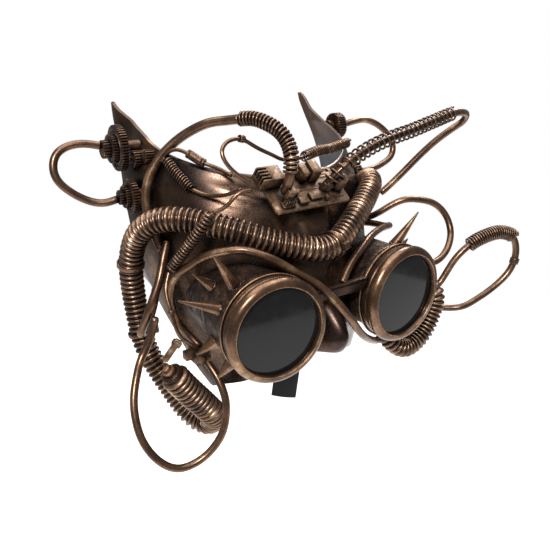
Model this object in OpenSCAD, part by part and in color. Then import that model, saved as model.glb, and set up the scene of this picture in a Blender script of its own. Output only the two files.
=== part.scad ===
// Horned half mask with a pair of welding goggles, gears, a circuit board and glued-on hoses and tubes.
// The mask looks towards -Y, +X is the wearer's left and +Z is up. The origin lies between the eyes,
// 60 mm behind the goggles' front rims. "right" and "left" in names are the wearer's.

/* [Shell] */
// Half of the shell's greatest width
half_width = 79; // [78:0.5:80]
// Wall of the moulded shell
shell_wall = 2.2; // [1.8:0.1:2.6]
// Height of the horn tips above the eyes
horn_tip_z = 107; // [104:1:112]
// Radius of each strap hole
strap_hole_r = 2.5; // [2:0.1:3]

// Radius of each eye hole in the shell, behind a goggle's cup
eye_hole_r = 21; // [19:0.5:22]

/* [Goggles] */
// Distance between the centres of the front rims
eye_spacing = 92; // [90:1:94]
// Distance of the front rims ahead of the origin
rim_forward = 60; // [58:1:62]
// Outward turn of each goggle
splay = 4.5; // [3:0.5:6]
// Outer radius of the bezel
bezel_r = 30; // [29.5:0.1:30.5]
// Radius of the bezel's front opening
opening_r = 25; // [24:0.1:25.6]
// Outer radius of the collar that the bezel screws onto
thread_r = 27; // [26.8:0.1:27.2]
// Running clearance between the collar and the bezel
thread_gap = 0.08; // [0.05:0.01:0.1]
// Outer radius of the cup
cup_r = 26.5; // [26:0.1:26.8]
// Wall of the cup and of the collar
cup_wall = 2.6; // [2:0.1:3]

/* [Hoses and tubes] */
// Radius of the corrugated hoses over their ribs
hose_r = 7.2; // [6.5:0.1:7.4]
// How much wider the forehead hose gets on its last stretch
hose_flare = 1.2; // [0.8:0.1:1.4]
// Radius of the smooth bent tubes
tube_r = 2.3; // [2:0.1:2.5]
// Radius of the thick tube over the crown
crown_tube_r = 2.7; // [2.5:0.1:2.8]
// Radius of the thin wires
wire_r = 1.1; // [0.9:0.1:1.2]
// Width of the ribbon ties
ribbon_w = 22; // [20:1:24]
// Thickness of the ribbon ties
ribbon_t = 0.8; // [0.6:0.1:1]

/* [Forehead board] */
// Length of the circuit board
board_l = 52; // [50:1:54]
// Height of the circuit board
board_h = 26; // [24:1:28]
// Thickness of the circuit board
board_t = 1.6; // [1.2:0.1:2]

/* [Hidden] */
$fn = 64;

copper = "peru";
dark_copper = "saddlebrown";

// ---- The shell's surface -------------------------------------------------------------------------------
// Each level of the shell is half an ellipse round the head, from its front at face_y to its widest place at
// back_y. A point on it is given by t, the angle round the ellipse from the nose in degrees, and z.
function bell(v, w) = exp(-(v * v) / (w * w));
function face_y(z) = -41 + 0.0045 * pow(max(z + 10, 0), 2) + 0.003 * pow(min(z + 10, 0), 2);
function back_y(z) = 58 + 0.0026 * pow(max(z - 20, 0), 2);
function width_at(z) = half_width - (z > 40 ? 0.0006 : 0.0016) * pow(z - 40, 2);
function nose_relief(x, z) = bell(x, 9 + 4 * bell(z + 24, 9)) * (2 + 16 * bell(z + 18, 17));
function brow_relief(x, z) = 4 * bell(z - 26 - 0.42 * abs(x), 8) * bell(abs(x) - 32, 30);
// How far the horns' front edges lean in.
horn_lean = 7.5;
function lean(t, z) = horn_lean * bell(t - 86, t < 86 ? 30 : 11) * pow(min(max((z - 60) / 30, 0), 1), 2);
function shell_point(t, z, inset) =
    let (x = (width_at(z) - inset) * sin(t) - sign(t) * lean(abs(t), z))
    [x, back_y(z) - (back_y(z) - face_y(z) - inset) * cos(t) - nose_relief(x, z) - brow_relief(x, z), z];
// The shell's lower edge runs from under the nose down to the cheek flap, then up to the temple and the horn.
lower_edge = [[0, -27], [8, -27], [14, -30], [20, -36], [28, -43], [40, -53], [50, -59], [58, -65],
    [64, -52], [72, -26], [80, -4], [86, 14], [92, 37], [95, 55], [97, 74], [99.5, 84.5], [102, 92],
    [104, 98], [105, 102]];
function top_edge(t) = 70 + (horn_tip_z - 70) * pow(min(abs(t) / 102, 1), 2);
half_angles = [2.5, 5, 7.5, 10, 13, 17, 22, 28, 34, 40, 46, 52, 58, 64, 70, 75, 80, 84, 88, 92, 96, 98, 100,
    102, 104, 105];
shell_angles = [for (i = [len(half_angles) - 1:-1:0]) -half_angles[i], 0, each half_angles];
shell_rows = 20;

// A closed solid between two grids of points with the same rows and columns.
module skin(outer, inner) {
    rows = len(outer);
    cols = len(outer[0]);
    n = rows * cols;
    function o(r, c) = r * cols + c;
    function i(r, c) = n + r * cols + c;
    polyhedron([for (row = outer) each row, for (row = inner) each row], [
        for (r = [0:rows - 2], c = [0:cols - 2]) each [
            [o(r, c), o(r + 1, c), o(r + 1, c + 1)], [o(r, c), o(r + 1, c + 1), o(r, c + 1)],
            [i(r, c), i(r + 1, c + 1), i(r + 1, c)], [i(r, c), i(r, c + 1), i(r + 1, c + 1)]],
        for (r = [0:rows - 2]) each [
            [o(r, 0), i(r, 0), i(r + 1, 0)], [o(r, 0), i(r + 1, 0), o(r + 1, 0)],
            [o(r, cols - 1), i(r + 1, cols - 1), i(r, cols - 1)],
            [o(r, cols - 1), o(r + 1, cols - 1), i(r + 1, cols - 1)]],
        for (c = [0:cols - 2]) each [
            [o(0, c), i(0, c + 1), i(0, c)], [o(0, c), o(0, c + 1), i(0, c + 1)],
            [o(rows - 1, c), i(rows - 1, c), i(rows - 1, c + 1)],
            [o(rows - 1, c), i(rows - 1, c + 1), o(rows - 1, c + 1)]]
    ], convexity = 8);
}

function shell_grid(inset) = [for (r = [0:shell_rows])
    [for (t = shell_angles)
        let (low = lookup(abs(t), lower_edge))
        shell_point(t, low + (top_edge(t) - low) * r / shell_rows, inset)]];

// What a cup must be cut back from: the shell's outside and everything behind it.
block_angles = [for (t = [2:4:86]) t];
module face_block(side) {
    rows = [-36:4:36];
    skin([for (z = rows) [for (t = block_angles) shell_point(side * t, z, -0.15)]],
        [for (z = rows) [for (t = block_angles) [side * (8 + 0.9 * t), 95, z]]]);
}
module mirrored_block(side) {
    if (side > 0) face_block(1);
    else mirror([1, 0, 0]) face_block(1);
}

// ---- Goggles --------------------------------------------------------------------------------------------
// The goggles' own frame: +Z out of the lens, with its zero on the front rim.
module goggle_place(side) {
    translate([side * eye_spacing / 2, -rim_forward, 0]) rotate([0, 0, side * splay]) rotate([90, 0, 0])
        children();
}
module ring(outer, inner, low, high) {
    translate([0, 0, low]) difference() {
        cylinder(r = outer, h = high - low);
        translate([0, 0, -1]) cylinder(r = inner, h = high - low + 2);
    }
}
flange_z = -12.4;
flange_t = 1.2;
collar_front_z = -6.6;
lens_back_z = -5;
lens_front_z = -3.1;
lip_z = -2.8;

module goggle_cup(side) {
    color(dark_copper) {
        difference() {
            goggle_place(side) {
                ring(cup_r, cup_r - cup_wall, -90, flange_z);
                ring(cup_r + 1, cup_r - 1, flange_z - 5, flange_z - 3.6);
            }
            mirrored_block(side);
            goggle_place(side) cup_vents(side);
        }
    }
}
// Rows of slots in the cup's outer side.
module cup_vents(side) {
    for (z = [-69, -64, -60, -46, -40])
        rotate([0, 0, side > 0 ? 4 : 176]) translate([cup_r - cup_wall - 1, -7, z])
            cube([cup_wall + 2, 14, 1.6]);
}
module goggle_collar(side) {
    color(dark_copper) {
        goggle_place(side) {
            ring(thread_r, thread_r - cup_wall - 0.6, flange_z + flange_t, collar_front_z);
            ring(bezel_r - 0.6, thread_r - cup_wall - 0.6, flange_z, flange_z + flange_t);
        }
    }
}
module lens_gasket(side) {
    color("dimgray") {
        goggle_place(side) ring(thread_r - 0.4, thread_r - 3, collar_front_z + 0.3, lens_back_z);
    }
}
module lens(side) {
    color("black") {
        goggle_place(side) translate([0, 0, lens_back_z])
            cylinder(r = thread_r - 0.4, h = lens_front_z - lens_back_z);
    }
}
// The bezel's section: a skirt over the collar, a rounded rim and a lip in front of the lens.
rim_round = 4;
bezel_section = [
    [thread_r + thread_gap, flange_z + flange_t + 0.4], [bezel_r - 1.2, flange_z + flange_t + 0.4],
    [bezel_r - 1, -6], each [for (a = [0:15:90])
        [bezel_r - rim_round + rim_round * cos(a), -rim_round + rim_round * sin(a)]],
    [opening_r + 0.8, -0.3], [opening_r, -1], [opening_r, lip_z], [thread_r + thread_gap, lip_z]];
module bezel(side) {
    color(copper) {
        goggle_place(side) rotate_extrude() polygon(bezel_section);
    }
}
// Cone spikes stand on the cup: z along the goggle's axis, angle round it, base radius, length and lean.
spikes_right = [[-24, 124, 4.2, 26, 12], [-24, 158, 3.6, 24, -4], [-41, 141, 3.4, 15, 5],
    [-33, -150, 4.6, 14, -8], [-17, -138, 4.8, 14, 2]];
spikes_left = [[-22, 68, 3.8, 26, 22], [-24, 51, 2.8, 9, 20]];
module goggle_spikes(side, spikes) {
    color(copper) goggle_place(side) for (s = spikes)
        rotate([0, 0, s[1]]) translate([cup_r - 0.5, 0, s[0]]) rotate([0, 90 - s[4], 0]) {
            cylinder(r = s[2], h = 1.2);
            translate([0, 0, 1.2]) cylinder(r1 = s[2] * 0.94, r2 = 0.3, h = s[3] - 1.2);
        }
}
module nose_bridge_bar() {
    color(dark_copper) {
        difference() {
            union() {
                translate([-24, -53, 8.5]) cube([48, 3, 7]);
                translate([-24, -53.8, 10.4]) cube([48, 1, 3.2]);
            }
            for (side = [-1, 1]) goggle_place(side) translate([0, 0, -40]) cylinder(r = bezel_r + 0.4, h = 45);
        }
    }
}

// ---- Swept tubes ----------------------------------------------------------------------------------------
function spline(a, b, c, d, u) = 0.5 * (2 * b + (c - a) * u + (2 * a - 5 * b + 4 * c - d) * u * u
    + (3 * b - a - 3 * c + d) * u * u * u);
// A smooth curve through the points, with steps rings between each two.
function route(p, steps) = let (n = len(p)) [
    for (i = [0:n - 2], k = [0:steps - 1])
        spline(p[max(i - 1, 0)], p[i], p[i + 1], p[min(i + 2, n - 1)], k / steps),
    p[n - 1]];
function unit(v) = v / norm(v);
function tangents(p) = let (n = len(p))
    [for (i = [0:n - 1]) unit(p[min(i + 1, n - 1)] - p[max(i - 1, 0)])];
// Side vectors carried along the curve without twist.
function sides_along(t) = [for (i = 0, s = unit(cross(t[0], [0.3, 0.2, 1])); i < len(t);
    i = i + 1, s = i < len(t) ? unit(s - (s * t[i]) * t[i]) : s) s];
// The radius r is one number or a list with one for each ring.
function radius_at(r, i) = is_list(r) ? r[i] : r;
module sweep(p, r, sides = 8) {
    t = tangents(p);
    s = sides_along(t);
    n = len(p);
    polyhedron([for (i = [0:n - 1], k = [0:sides - 1]) let (a = 360 * k / sides)
            p[i] + radius_at(r, i) * (cos(a) * s[i] + sin(a) * cross(t[i], s[i]))],
        [for (i = [0:n - 2], k = [0:sides - 1])
                let (a = i * sides + k, b = i * sides + (k + 1) % sides) each [
                [a, a + sides, b + sides], [a, b + sides, b]],
            [for (k = [0:sides - 1]) k], [for (k = [sides - 1:-1:0]) (n - 1) * sides + k]], convexity = 10);
}
// A sleeve round the tube of radius r that runs along p, between two of its rings, out to radius r_out.
module sleeve(p, from, to, r, r_out, sides = 8) {
    t = tangents(p);
    s = sides_along(t);
    function circle_at(i, radius) = [for (k = [0:sides]) let (a = 360 * k / sides)
        p[i] + radius * (cos(a) * s[i] + sin(a) * cross(t[i], s[i]))];
    n = to - from + 1;
    m = 2 * sides;
    points = [for (i = [from:to]) each [
        for (k = [0:sides - 1]) circle_at(i, r_out)[k],
        for (k = [0:sides - 1]) circle_at(i, r + sleeve_gap)[k]]];
    polyhedron(points, [
        for (i = [0:n - 2], k = [0:sides - 1])
            let (a = i * m + k, b = i * m + (k + 1) % sides, c = a + sides, d = b + sides) each [
                [a, a + m, b + m], [a, b + m, b], [c, d + m, c + m], [c, d, d + m]],
        for (k = [0:sides - 1]) let (b = (k + 1) % sides) each [
            [k, b, b + sides], [k, b + sides, k + sides],
            [(n - 1) * m + k, (n - 1) * m + b + sides, (n - 1) * m + b],
            [(n - 1) * m + k, (n - 1) * m + k + sides, (n - 1) * m + b + sides]]], convexity = 10);
}
sleeve_gap = 0.06;
// A ribbon's section keeps its width along the given direction.
module ribbon(p, across) {
    q = route(p, 2);
    t = tangents(q);
    n = len(q);
    polyhedron([for (i = [0:n - 1])
                let (w = unit(across - (across * t[i]) * t[i]), h = cross(t[i], w)) each [
                q[i] - w * ribbon_w / 2 - h * ribbon_t / 2, q[i] + w * ribbon_w / 2 - h * ribbon_t / 2,
                q[i] + w * ribbon_w / 2 + h * ribbon_t / 2, q[i] - w * ribbon_w / 2 + h * ribbon_t / 2]],
        [for (i = [0:n - 2], k = [0:3]) let (a = i * 4 + k, b = i * 4 + (k + 1) % 4) each [
                [a, a + 4, b + 4], [a, b + 4, b]],
            [0, 1, 2, 3], [for (k = [3:-1:0]) (n - 1) * 4 + k]], convexity = 6);
}
// Routes, chosen by hand: the points that each hose, tube, wire and ribbon passes through.
forehead_route = [[67, 9, 54], [59, -6, 60], [51, -16, 58], [38, -25, 52], [23, -34, 46], [12, -39, 40],
    [1, -43, 36], [-10, -43, 35], [-21, -40, 38], [-33, -34, 41], [-46, -26, 46], [-56, -16, 49],
    [-66, -5, 51], [-74, 2, 52], [-79, 8, 51], [-84, 14, 48], [-88, 21, 42], [-90, 28, 32],
    [-91, 32, 20], [-90, 35, 4], [-89, 35, -11], [-88, 33, -26], [-86, 30, -38], [-82, 26, -50],
    [-77, 21, -62], [-72, 15, -74], [-67, 8, -82], [-61, 0, -83], [-60, -8, -75], [-66, -13, -65],
    [-74, -14, -54], [-82, -14, -43], [-88, -14, -34]];
cheek_route = [[86, -26, -10], [91, -34, -11], [94, -39, -15], [94, -40, -22], [92, -40, -30],
    [88, -40, -39], [82, -40, -46], [74, -40, -50], [66, -40, -50], [58, -38, -44], [54, -34, -37],
    [52, -30, -31.5]];
temple_right_route = [[-94, 56, 86], [-103, 58, 88], [-112, 60, 87], [-119, 60, 83], [-122, 58, 76],
    [-121, 56, 69], [-115, 54, 62], [-106, 52, 56], [-98, 49, 54], [-90, 47, 56]];
temple_left_route = [[85, 55, 86], [93, 53, 88], [104, 52, 89], [115, 50, 85], [125, 48, 77],
    [129, 46, 69], [126, 44, 61], [114, 42, 56], [102, 40, 54], [90, 38, 54]];
crown_route = [[-24, -30, 67], [-26, -37, 73], [-25, -38, 85], [-24, -34, 92], [-25, -28, 98],
    [-28, -20, 102], [-32, -10, 104], [-38, 4, 102], [-46, 14, 100], [-55, 23, 94], [-63, 28, 87],
    [-70, 31, 79], [-76, 32, 69], [-79, 31, 58], [-79, 29, 48], [-77, 26, 37], [-75, 22, 28]];
side_route = [[-72, 20, 34], [-76, 18, 25], [-80, 14, 17], [-84, 12, 9], [-88, 11, 2], [-91, 12, -6],
    [-93, 15, -14], [-94, 18, -20], [-91, 21, -21], [-87, 21, -14], [-83, 21, -4], [-81, 21, 6]];
lower_loop_route = [[-88, 7, -6], [-90, 8, -14], [-94, 8, -23], [-99, 7, -30], [-104, 2, -37],
    [-109, -4, -47], [-111, -10, -58], [-110, -16, -69], [-105, -22, -79], [-97, -26, -86],
    [-88, -28, -87], [-77, -30, -82], [-68, -31, -72], [-64, -30, -61], [-63, -28, -50],
    [-64, -22, -40], [-66, -14, -33], [-67, -8, -30]];
brow_route = [[-66, -4, -26], [-70, 2, -20], [-75, 5, -12], [-78, 5, -2], [-80, 3, 7], [-79, -2, 19],
    [-77, -8, 25], [-72, -13, 30], [-68, -19, 35], [-62, -25, 38], [-53, -33, 40], [-46, -38, 38],
    [-38, -43, 34], [-27, -46, 26], [-17, -52, 19], [-10, -58, 11], [-5, -61, 4], [1, -62, -4],
    [9, -60, -14], [21, -54, -24], [36, -46, -33], [50, -38, -37], [56, -28, -35]];
bridge_route = [[75, 22, 22], [80, 10, 23], [80, -2, 24], [76, -10, 27], [58, -20, 30], [40, -30, 30],
    [26, -38, 27], [14, -44, 23], [5, -49, 18], [2, -51, 15]];
horn_route = [[2, -27, 62], [4, -31, 68], [13, -36, 78], [25, -36, 84], [38, -35, 88], [53, -34, 91],
    [66, -33, 93], [89, -30, 97], [108, -27, 100], [118, -26, 100], [127, -22, 98], [130, -18, 93],
    [124, -14, 88], [116, -8, 80], [108, -2, 70], [99, 3, 59], [91, 7, 50], [85, 10, 44]];
cheek_tube_route = [[74, 23, 26], [78, 16, 26], [82, 9, 30], [90, 4, 36], [97, -1, 40], [106, -6, 40],
    [116, -12, 37], [122, -18, 29], [122, -24, 18], [113, -30, 9], [102, -33, 4], [94, -33, 3]];
outer_route = [[93, -35, -15], [98, -36, -14], [102, -37, -10], [106, -38, -3], [111, -40, 6],
    [119, -43, 14], [129, -46, 19], [142, -49, 21], [153, -52, 17], [156, -54, 8], [156, -54, -1],
    [152, -53, -10], [143, -50, -19], [131, -46, -27], [118, -42, -32], [106, -28, -34], [92, -26, -30],
    [80, -26, -24], [68, -26, -18]];
goggle_spring_route = [[-64, -20, 58], [-69, -18, 50], [-75, -11, 38], [-81, -4, 26]];
brow_spring_route = [[-68, 23, 81], [-66.5, 18, 75.5], [-64, 13, 71], [-61.5, 8, 66]];
crown_spring_route = [[7, -5, 79], [22, 2, 80], [36, 9, 79], [52, 17, 79], [64, 23, 79]];
crown_wire_route = [[-44, -8, 74], [-47, 2, 77], [-52, 8, 79], [-58, 16, 84], [-62, 23, 86],
    [-66, 26, 84], [-69, 29, 79]];
loop_wire_route = [[-45, -29, 74], [-54, -27, 81], [-58, -24, 88], [-57, -22, 92], [-52, -20, 95],
    [-43, -18, 95], [-32, -16, 89], [-21, -14, 84], [-12, -12, 80], [3, -7, 79]];
brow_wire_route = [[-61, 8, 66], [-58, 2, 64], [-54, -5, 63.5], [-52, -16, 66], [-48, -25, 70]];
goggle_wire_route = [[-44, -29, 70], [-51, -27, 69], [-57, -25, 62], [-63, -21, 59]];
goggle_wire_low = [[-82, -3, 24], [-86, -6, 15], [-86, -12, 4], [-84, -15.5, -9], [-77, -13, -17],
    [-70, -8, -24]];
ribbon_right_route = [[-76.2, 56, 36], [-75.4, 60, 22], [-72, 65, 5], [-65, 70, -10], [-55, 76, -22],
    [-44, 82, -32], [-34, 88, -44], [-26, 93, -58], [-21, 96, -74], [-18, 98, -92]];
ribbon_left_route = [[76.2, 56, 36], [76, 64, 18], [74, 70, 0], [70, 72, -22], [65, 73, -44],
    [60, 73, -66], [55, 72, -88], [50, 71, -110], [45, 70, -139]];

// ---- Gears ----------------------------------------------------------------------------------------------
// A toothed disc on +Z, from z = 0 to z = t.
module gear(r, teeth, t, depth = 1) {
    linear_extrude(t) polygon([for (i = [0:teeth - 1]) let (a = 360 / teeth) each [
        for (k = [[0, -depth], [0.3, -depth], [0.45, 0], [0.85, 0]])
            (r + k[1]) * [cos(a * (i + k[0])), sin(a * (i + k[0]))]]]);
}
// The outward direction at a temple: +Z becomes -X on the right and +X on the left.
module temple_place(side, p) {
    translate(p) rotate([0, side * 90, 0]) children();
}
module upper_gear_stack() {
    color(copper) {
        temple_place(-1, [-72.5, 56, 84]) {
            translate([0, 0, -1.5]) cylinder(r = 4, h = 10.5);
            translate([0, 0, 9]) gear(13.5, 48, 4.5);
            translate([0, 0, 13.5]) gear(8.5, 32, 3.5);
            translate([0, 0, 17]) gear(5.4, 18, 4.5, 0.8);
        }
    }
}
module lower_gear_stack() {
    color(copper) {
        temple_place(-1, [-74.5, 46, 57]) {
            translate([0, 0, 1.5]) cylinder(r = 5, h = 4);
            translate([0, 0, 5.5]) gear(10.5, 36, 4);
            translate([0, 0, 9.5]) gear(6.8, 26, 3);
            translate([0, 0, 12.5]) gear(4.4, 16, 3, 0.8);
        }
    }
}
module temple_pinions() {
    color(copper) {
        temple_place(-1, [-71, 49, 78]) gear(4.8, 16, 7.5);
        temple_place(-1, [-68, 42, 80]) gear(3.9, 14, 6);
    }
}
module upper_gear_left() {
    color(copper) {
        temple_place(1, [72.5, 55, 86]) {
            translate([0, 0, -1]) cylinder(r = 4, h = 4.5);
            translate([0, 0, 3.5]) gear(9, 32, 7);
            translate([0, 0, 10.5]) cylinder(r = 4.4, h = 2);
        }
    }
}
module lower_gear_left() {
    color(copper) {
        temple_place(1, [74.5, 38, 54]) {
            cylinder(r = 4, h = 8);
            translate([0, 0, 8]) gear(6.5, 18, 5.5);
            translate([0, 0, 13.5]) cylinder(r = 3.8, h = 2);
        }
    }
}

// ---- Circuit board --------------------------------------------------------------------------------------
// The board's own frame: x along it, y up its slope and +Z out of its face.
board_tilt = 38;
module board_place() {
    translate([-9, -27, 65]) rotate([0, 0, 3]) rotate([board_tilt, 0, 0]) children();
}
module circuit_board() {
    color(dark_copper) {
        board_place() linear_extrude(board_t) difference() {
            hull() for (sx = [-1, 1], sy = [-1, 1])
                translate([sx * (board_l / 2 - 2), sy * (board_h / 2 - 2)]) circle(r = 2, $fn = 32);
            for (sx = [-1, 1]) translate([sx * (board_l / 2 - 3), board_h / 2 - 3]) circle(r = 1.1, $fn = 32);
        }
    }
}
module board_posts() {
    color(dark_copper) {
        for (x = [-14, 12]) board_place() translate([x, 3, -9]) cylinder(r = 2.5, h = 9, $fn = 32);
    }
}
module comb_connector() {
    color(copper) {
        board_place() translate([-29, 3, board_t]) difference() {
            cube([14, 10, 8]);
            for (i = [0:3]) translate([-1, 1.2 + i * 2.2, 3]) cube([7, 1.1, 6]);
        }
    }
}
module twin_connector() {
    color(copper) {
        board_place() {
            translate([-1.5, 4, board_t]) cube([4.5, 8, 8]);
            translate([4.5, 3, board_t]) cube([6, 9.5, 9]);
        }
    }
}
module board_capacitors() {
    color(copper) {
        board_place() {
            translate([-15.5, -5.5, board_t]) cylinder(r = 2.7, h = 8, $fn = 32);
            translate([13.5, -3.5, board_t]) cylinder(r = 1.9, h = 6, $fn = 32);
            translate([21.5, -2.5, board_t]) cylinder(r = 3.8, h = 9, $fn = 48);
        }
    }
}
module pin_header() {
    color(copper) {
        board_place() translate([-21.5, -11.2, board_t]) {
            cube([8.4, 3.4, 1.6]);
            for (i = [0:4], k = [0:1]) translate([0.9 + i * 1.6, 0.7 + k * 1.5, 1.6]) cube([0.6, 0.6, 3]);
        }
    }
}
module board_chips() {
    color(copper) {
        board_place() {
            translate([-9.5, -10.5, board_t]) cube([6, 4, 2.4]);
            translate([-1, -9, board_t]) cube([8, 5, 2]);
            translate([-9, -3.5, board_t]) cylinder(r = 1.5, h = 4, $fn = 32);
            translate([9.5, -9.5, board_t]) cylinder(r = 1.2, h = 3, $fn = 32);
        }
    }
}

// ---- Small fittings -------------------------------------------------------------------------------------
// Turns +Z towards v.
module aim(p, v) {
    translate(p) rotate([0, acos(v[2] / norm(v)), atan2(v[1], v[0])]) children();
}
hose_end = forehead_route[len(forehead_route) - 1];
hose_end_dir = hose_end - forehead_route[len(forehead_route) - 2];
module hose_end_gear() {
    color(copper) {
        aim(hose_end, hose_end_dir) gear(6.4, 28, 3.4, 0.6);
    }
}
module hose_end_bolt() {
    color(copper) {
        aim(hose_end + 3.4 * unit(hose_end_dir), hose_end_dir) {
            cylinder(r = 3.6, h = 2.6);
            translate([0, 0, 2.6]) cylinder(r = 2, h = 2, $fn = 6);
        }
    }
}
// A loop of nylon tie round a route's point, with its square head.
module tie(p, v, r, turn) {
    aim(p, v) {
        ring(r + 0.9, r, -1.2, 1.2);
        rotate([0, 0, turn]) translate([r + 0.7, -2, -2]) cube([3, 4, 4]);
    }
}
module cable_ties() {
    color(copper) {
        tie([-91, 32, 20], [0, 7, -28], hose_r + 0.05, 200);
        tie([1, -43, 36], [-22, -4, -5], hose_r + 0.05, 100);
        tie([-88, 33, -26], [3, -5, -27], hose_r + 0.05, 150);
    }
}
module wire_crimps() {
    color(copper) {
        aim([-43, -18, 95], [11, 2, -3]) ring(wire_r + 0.9, wire_r + 0.02, -1.6, 1.6);
        aim([-86, -12, 4], [4, -9, -22]) ring(wire_r + 0.9, wire_r + 0.02, -1.2, 1.2);
        aim([156, -54, -1], [-4, 1, -18]) ring(tube_r + 0.8, tube_r + 0.02, -2, 2);
    }
}
module terminal_block() {
    color(copper) {
        translate([-72, -12, -34]) cube([9, 12, 8]);
        translate([-70, -14, -30]) rotate([-90, 0, 0]) cylinder(r = 2.4, h = 2);
        translate([-65.4, -15, -30]) rotate([-90, 0, 0]) cylinder(r = 1.8, h = 3);
        translate([-77, -8, -31]) cube([5, 5, 5]);
    }
}
module bracket_lever() {
    color(copper) {
        aim([-92, -12, -24], [9, -4, 14]) {
            translate([-1.8, -1, 0]) cube([3.6, 2, 15]);
            translate([-2.6, -1.8, 11]) cube([5.2, 3.6, 3]);
        }
    }
}

// ---- The shell and the swept parts ----------------------------------------------------------------------
strap_hole_z = 50;
strap_hole_y = 64;
module mask_shell() {
    color(copper) difference() {
        skin(shell_grid(0), shell_grid(shell_wall));
        for (side = [-1, 1]) goggle_place(side) translate([0, 0, -110]) cylinder(r = eye_hole_r, h = 110);
        translate([-100, strap_hole_y, strap_hole_z]) rotate([0, 90, 0]) cylinder(r = strap_hole_r, h = 200);
    }
}
// The forehead hose widens past the bottom of its loop, up to its open end.
loop_bottom = 54;
module forehead_hose() {
    p = route(forehead_route, 2);
    color(copper)
        sweep(p, [for (i = [0:len(p) - 1]) hose_r + hose_flare * min(max((i - loop_bottom) / 4, 0), 1)], 10);
}
module cheek_hose() { color(copper) sweep(route(cheek_route, 3), hose_r - 0.5, 10); }
module temple_loop_right() { color(copper) sweep(route(temple_right_route, 3), tube_r); }
module temple_loop_left() { color(copper) sweep(route(temple_left_route, 3), tube_r); }
module crown_tube() { color(copper) sweep(route(crown_route, 2), crown_tube_r); }
module crown_tube_coil() { color(dark_copper) sleeve(route(crown_route, 2), 3, 13, crown_tube_r, 4.3); }
module side_tube() { color(copper) sweep(route(side_route, 2), 2.5); }
module lower_loop_tube() { color(copper) sweep(route(lower_loop_route, 2), tube_r); }
module brow_tube() { color(copper) sweep(route(brow_route, 2), tube_r); }
module bridge_tube() { color(copper) sweep(route(bridge_route, 2), tube_r); }
module horn_hose() { color(copper) sweep(route(horn_route, 2), tube_r); }
module horn_hose_coil() { color(dark_copper) sleeve(route(horn_route, 2), 2, 16, tube_r, 4.6); }
module cheek_tube() { color(copper) sweep(route(cheek_tube_route, 2), tube_r); }
module outer_loop_tube() { color(copper) sweep(route(outer_route, 2), tube_r); }
module outer_loop_coil() { color(dark_copper) sleeve(route(outer_route, 2), 10, 16, tube_r, 5); }
module brow_spring() { color(dark_copper) sweep(route(brow_spring_route, 2), 2.9); }
module goggle_spring() { color(dark_copper) sweep(route(goggle_spring_route, 2), 3.3); }
module crown_spring() { color(dark_copper) sweep(route(crown_spring_route, 2), 3.4); }
module crown_wire() { color(copper) sweep(route(crown_wire_route, 2), wire_r); }
module crown_wire_barrel() { color(dark_copper) sleeve(route(crown_wire_route, 2), 4, 6, wire_r, 2.6); }
module loop_wire() { color(copper) sweep(route(loop_wire_route, 2), wire_r); }
module brow_wire() { color(copper) sweep(route(brow_wire_route, 3), wire_r); }
module goggle_wire() {
    color(copper) {
        sweep(route(goggle_wire_route, 3), wire_r);
        sweep(route(goggle_wire_low, 2), wire_r);
    }
}
module ribbon_right() { color("black") ribbon(ribbon_right_route, [0, 1, 0]); }
module ribbon_left() { color("black") ribbon(ribbon_left_route, [0.8, -0.5, 0]); }

mask_shell();
goggle_cup(-1);  // goggle_cup_right
goggle_cup(1);  // goggle_cup_left
goggle_collar(-1);  // goggle_collar_right
goggle_collar(1);  // goggle_collar_left
lens_gasket(-1);  // lens_gasket_right
lens_gasket(1);  // lens_gasket_left
lens(-1);  // lens_right
lens(1);  // lens_left
bezel(-1);  // bezel_right
bezel(1);  // bezel_left
goggle_spikes(-1, spikes_right);  // goggle_spikes_right
goggle_spikes(1, spikes_left);  // goggle_spikes_left
nose_bridge_bar();
forehead_hose();
hose_end_gear();
hose_end_bolt();
cheek_hose();
temple_loop_right();
temple_loop_left();
crown_tube();
crown_tube_coil();
side_tube();
lower_loop_tube();
brow_tube();
bridge_tube();
horn_hose();
horn_hose_coil();
cheek_tube();
outer_loop_tube();
outer_loop_coil();
brow_spring();
goggle_spring();
crown_spring();
upper_gear_stack();
lower_gear_stack();
temple_pinions();
upper_gear_left();
lower_gear_left();
circuit_board();
board_posts();
comb_connector();
twin_connector();
board_capacitors();
pin_header();
board_chips();
crown_wire();
crown_wire_barrel();
loop_wire();
brow_wire();
goggle_wire();
wire_crimps();
cable_ties();
terminal_block();
bracket_lever();
ribbon_right();
ribbon_left();
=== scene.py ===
"""A horned half mask in antique copper with welding goggles, gears, a circuit board, hoses and ribbon ties.

The mask looks towards -Y, +X is the wearer's left and +Z is up. Sizes below are in millimetres until they
are made into meshes, which are in metres.
"""

import math

import bmesh
import bpy
from mathutils import Matrix, Vector


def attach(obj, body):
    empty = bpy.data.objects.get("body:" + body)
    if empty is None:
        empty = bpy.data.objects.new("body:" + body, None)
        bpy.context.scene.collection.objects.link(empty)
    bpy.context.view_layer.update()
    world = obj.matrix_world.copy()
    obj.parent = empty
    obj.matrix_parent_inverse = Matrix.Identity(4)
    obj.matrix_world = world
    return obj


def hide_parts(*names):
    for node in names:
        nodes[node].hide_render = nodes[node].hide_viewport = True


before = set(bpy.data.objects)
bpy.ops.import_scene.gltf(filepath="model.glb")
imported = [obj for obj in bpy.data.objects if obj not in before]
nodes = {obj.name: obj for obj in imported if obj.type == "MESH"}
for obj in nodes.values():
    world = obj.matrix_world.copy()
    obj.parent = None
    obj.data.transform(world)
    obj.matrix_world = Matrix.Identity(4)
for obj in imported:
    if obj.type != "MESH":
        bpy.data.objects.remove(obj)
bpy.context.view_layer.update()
MM = 0.001

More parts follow.
